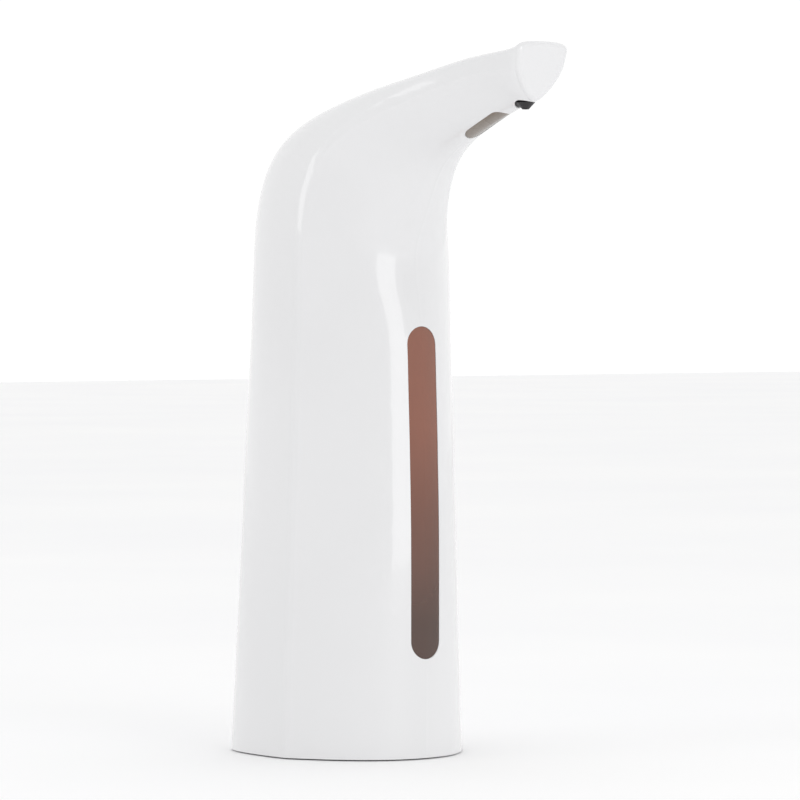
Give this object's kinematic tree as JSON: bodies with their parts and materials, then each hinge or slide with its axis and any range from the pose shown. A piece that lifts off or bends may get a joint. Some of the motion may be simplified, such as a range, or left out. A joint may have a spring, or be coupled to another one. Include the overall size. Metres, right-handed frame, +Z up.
{
  "type": "soap dispenser",
  "caption": "Touch-free soap dispenser: a tall rounded housing with side creases bends forward into a spout; level window, sensor, black nozzle, pump, batteries and wall bracket.",
  "frame": {"origin": "on the floor plane that the feet stand on, at the centre of the foot of the housing", "axes": "+Z up, the spout points to -Y, +X to the side"},
  "size_m": [0.0784, 0.1416, 0.2473],
  "materials": {
    "white_shell": "gloss",
    "window_tint": "clear tinted",
    "sensor_tint": "clear dark",
    "black_plastic": "satin",
    "grey_plastic": "satin",
    "milky_plastic": "translucent satin",
    "tank_clear": "clear satin",
    "silicone": "soft",
    "dark_rubber": "matte",
    "steel": "brushed",
    "spring_steel": "bright",
    "board": "lacquered",
    "cell_wrap": "printed sleeve, plain",
    "zinc": "satin",
    "light_pipe": "frosted"
  },
  "bodies": {
    "housing": {"front_shell": "white_shell", "rear_shell": "white_shell", "level_window": "window_tint", "sensor_window": "sensor_tint", "nozzle_insert": "black_plastic", "nozzle_valve": "silicone", "button_dome": "silicone", "button_board": "board", "status_light": "light_pipe", "sensor_board": "board", "ir_diodes": "sensor_tint", "sensor_cable": "dark_rubber", "tank": "tank_clear", "tank_gasket": "silicone", "chassis": "black_plastic", "intake_filter": "grey_plastic", "pump_body": "grey_plastic", "pump_cover": "grey_plastic", "pump_screws": "steel", "shaft_seal": "dark_rubber", "idler_pin": "steel", "motor": "zinc", "delivery_tube": "silicone", "tube_clips": "grey_plastic", "base_plate": "white_shell", "base_screws": "steel", "foot_ring": "dark_rubber", "battery_tray": "grey_plastic", "batteries": "cell_wrap", "battery_springs": "spring_steel", "battery_contacts": "spring_steel", "switch_case": "grey_plastic", "control_board": "board", "board_components": "black_plastic"},
    "button": {"dose_button": "white_shell"},
    "cap": {"refill_cap": "white_shell", "refill_cap_seal": "dark_rubber"},
    "door": {"battery_door": "white_shell", "door_pad": "dark_rubber"},
    "switch_knob": {"power_switch": "black_plastic"},
    "drive": {"motor_shaft": "steel", "drive_gear": "milky_plastic"},
    "idler": {"idler_gear": "milky_plastic"},
    "bracket": {"wall_bracket": "zinc"}
  },
  "joints": [
    {"name": "button_press", "type": "slide", "parent": "housing", "child": "button", "axis": [0, -0.1736, -0.9848], "range_m": [0, 0.0007], "stiffness_N_per_m": 600, "springref_m": -0.0005, "deforming": ["button_dome"]},
    {"name": "cap_lift", "type": "slide", "parent": "housing", "child": "cap", "axis": [0, 0, 1], "range_m": [0, 0.022]},
    {"name": "battery_door_swing", "type": "hinge", "parent": "housing", "child": "door", "pos_m": [0, -0.0223, 0.0015], "axis": [-1, 0, 0], "range_deg": [0, 95]},
    {"name": "switch_slide", "type": "slide", "parent": "housing", "child": "switch_knob", "axis": [1, 0, 0], "range_m": [0, 0.003]},
    {"name": "pump_spin", "type": "hinge", "parent": "housing", "child": "drive", "pos_m": [0, -0.012, 0.0237], "axis": [0, 0, 1], "continuous": true},
    {"name": "idler_spin", "type": "hinge", "parent": "housing", "child": "idler", "pos_m": [-0.012, -0.012, 0.0237], "axis": [0, 0, 1], "continuous": true},
    {"name": "bracket_release", "type": "slide", "parent": "housing", "child": "bracket", "axis": [0, 0, -1], "range_m": [0, 0.012]}
  ],
  "couplings": [
    {"joint": "idler_spin", "follows": "pump_spin", "ratio": -1}
  ]
}
